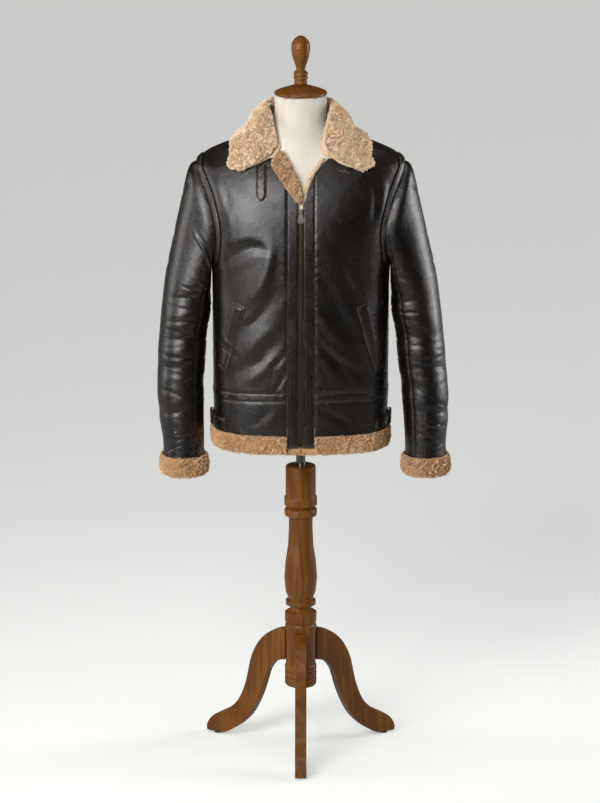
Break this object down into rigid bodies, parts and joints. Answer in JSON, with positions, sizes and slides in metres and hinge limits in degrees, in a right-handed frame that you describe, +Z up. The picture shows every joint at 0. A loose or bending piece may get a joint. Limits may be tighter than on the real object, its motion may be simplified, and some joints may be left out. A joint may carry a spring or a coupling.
{
  "type": "shearling coat on a dress form stand",
  "caption": "Dark leather coat with a fleece collar, cuffs and hem, zip front and slanted pockets, shown on a limbless dress form with a turned wooden post and curved legs.",
  "frame": {"origin": "bottom centre of the bounding box, on the floor under the coat; the stand's post stands 8.1 mm towards -X and 49.8 mm towards +Y of it", "axes": "+Z up, the coat's front faces -Y, the wearer's left side is +X"},
  "size_m": [0.6159, 0.3575, 1.533],
  "materials": {
    "leather": "finished leather outer face, satin, near-black brown, softly creased",
    "shearling": "dense curled sheep's fleece, honey with paler tips",
    "linen": "plain cream linen cover, matte",
    "wood": "varnished mid-brown hardwood, glossy",
    "steel": "nickel-plated, lightly brushed",
    "dark_bronze": "darkened brass zip teeth",
    "zip_tape_cloth": "woven black-brown zip tape, matte",
    "foot_rubber": "dark rubber foot glide, matte"
  },
  "bodies": {
    "stand": {"post": "wood", "leg_1": "wood", "leg_2": "wood", "leg_3": "wood", "foot_glide_1": "foot_rubber", "foot_glide_2": "foot_rubber", "foot_glide_3": "foot_rubber"},
    "coat": {"armhole_tape_left": "leather", "armhole_tape_right": "leather", "back": "leather", "collar": "shearling", "collar_hook": "steel", "collar_strap": "leather", "cuff_fur_left": "shearling", "cuff_fur_right": "shearling", "facing_left": "shearling", "facing_right": "shearling", "finial": "wood", "form_torso": "linen", "front_left": "leather", "front_right": "leather", "hem_band_back": "leather", "hem_band_left": "leather", "hem_band_right": "leather", "hem_fur_back": "shearling", "hem_fur_left": "shearling", "hem_fur_right": "shearling", "neck_cap": "wood", "placket_left": "leather", "placket_right": "leather", "pocket_welt_left": "leather", "pocket_welt_right": "leather", "pole": "steel", "side_keeper_left": "leather", "side_keeper_right": "leather", "side_tab_left": "leather", "side_tab_right": "leather", "sleeve_top_left": "leather", "sleeve_top_right": "leather", "sleeve_under_left": "leather", "sleeve_under_right": "leather", "strap_eyelet_lower": "steel", "strap_eyelet_upper": "steel", "waist_strip_back": "leather", "waist_strip_left": "leather", "waist_strip_right": "leather", "zip_chain": "dark_bronze", "zip_slider": "steel", "zip_tape": "zip_tape_cloth"},
    "zip_pull": {"zip_pull_tab": "steel"}
  },
  "joints": [
    {"name": "form_turn", "type": "hinge", "parent": "stand", "child": "coat", "pos_m": [-0.0081, 0.0498, 0.608], "axis": [0, 0, 1], "continuous": true},
    {"name": "zip_pull_swing", "type": "hinge", "parent": "coat", "child": "zip_pull", "pos_m": [-0.0081, -0.07493, 1.1883], "axis": [-1, 0, 0], "range_deg": [0, 150]}
  ]
}
